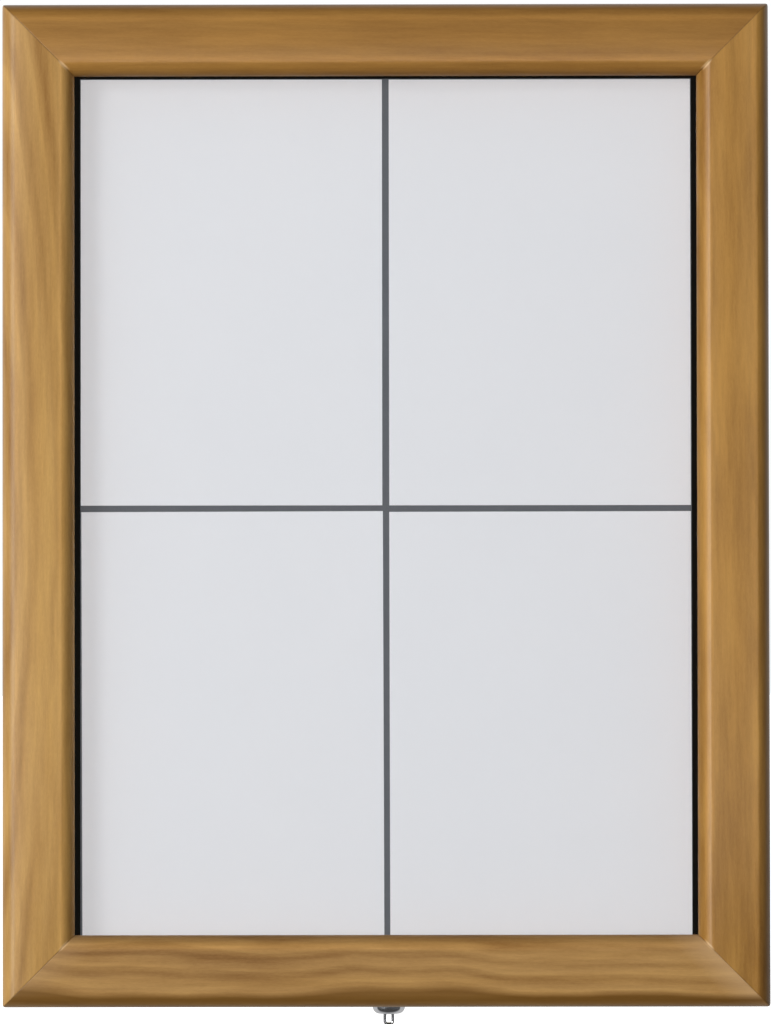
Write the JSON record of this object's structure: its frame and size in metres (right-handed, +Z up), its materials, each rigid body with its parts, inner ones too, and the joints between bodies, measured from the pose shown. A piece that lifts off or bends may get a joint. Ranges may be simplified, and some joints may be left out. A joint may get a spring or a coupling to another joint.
{
  "type": "information display case",
  "caption": "Shallow lockable timber wall case: a mitred, glazed door hinged along the top closes over a grey board with blank paper notices; chrome cam lock below.",
  "frame": {"origin": "Centre of the wall fixing pattern, on the case's rear face, in the wall's plane.", "axes": "+X to the right seen from the front, +Y into the wall, +Z up. The front faces -Y."},
  "size_m": [0.529, 0.0555, 0.7069],
  "materials": {
    "door_timber": "honey stain, satin lacquer",
    "case_timber": "honey stain, satin lacquer",
    "bead_timber": "honey stain, satin lacquer",
    "plywood": "plain sanded plywood",
    "fibreboard": "raw fibreboard",
    "board_coating": "dark grey powder coat, satin",
    "paper": "blank white paper, matt",
    "black_edging": "black extruded plastic, matt",
    "seal_rubber": "black foam rubber",
    "glazing_tape": "black foam tape",
    "clear_pane": "clear acrylic, polished",
    "chrome_plate": "bright chrome plate",
    "brass": "plain drawn brass",
    "zinc_steel": "bright zinc plate"
  },
  "bodies": {
    "case": {"case_rail_bottom": "case_timber", "case_stile_right": "case_timber", "case_rail_top": "case_timber", "case_stile_left": "case_timber", "back_panel": "plywood", "back_panel_screws": "zinc_steel", "board_core": "fibreboard", "display_board": "board_coating", "board_screws": "zinc_steel", "board_edging_bottom": "black_edging", "board_edging_right": "black_edging", "board_edging_top": "black_edging", "board_edging_left": "black_edging", "sheet_top_left": "paper", "sheet_top_right": "paper", "sheet_bottom_left": "paper", "sheet_bottom_right": "paper", "weather_seal_bottom": "seal_rubber", "weather_seal_right": "seal_rubber", "weather_seal_top": "seal_rubber", "weather_seal_left": "seal_rubber", "corner_irons": "zinc_steel", "corner_iron_screws": "zinc_steel", "case_hinge_leaf": "brass", "hinge_pin": "zinc_steel", "case_leaf_screws": "brass", "lock_housing": "chrome_plate", "lock_nut": "zinc_steel"},
    "door": {"door_rail_bottom": "door_timber", "door_stile_right": "door_timber", "door_rail_top": "door_timber", "door_stile_left": "door_timber", "glazing_pane": "clear_pane", "glazing_tape_bottom": "glazing_tape", "glazing_tape_right": "glazing_tape", "glazing_tape_top": "glazing_tape", "glazing_tape_left": "glazing_tape", "glazing_bead_bottom": "bead_timber", "glazing_bead_right": "bead_timber", "glazing_bead_top": "bead_timber", "glazing_bead_left": "bead_timber", "bead_pins": "brass", "corner_plate_bottom_left": "zinc_steel", "corner_plate_bottom_right": "zinc_steel", "corner_plate_top_right": "zinc_steel", "corner_plate_top_left": "zinc_steel", "corner_plate_screws": "zinc_steel", "door_hinge_leaf": "brass", "door_leaf_screws": "brass", "lock_keeper": "zinc_steel", "keeper_screws": "zinc_steel"},
    "lock_plug": {"lock_plug": "brass", "lock_cam": "zinc_steel", "cam_screw": "zinc_steel"},
    "key": {"key": "chrome_plate"}
  },
  "joints": [
    {"name": "door_hinge", "type": "hinge", "parent": "case", "child": "door", "pos_m": [0, -0.0287, 0.3428], "axis": [-1, 0, 0], "range_deg": [0, 110]},
    {"name": "lock_turn", "type": "hinge", "parent": "case", "child": "lock_plug", "pos_m": [0.0015, -0.016, -0.344], "axis": [0, 0, -1], "range_deg": [0, 90]},
    {"name": "key_slide", "type": "slide", "parent": "lock_plug", "child": "key", "axis": [0, 0, -1], "range_m": [0, 0.02]}
  ]
}
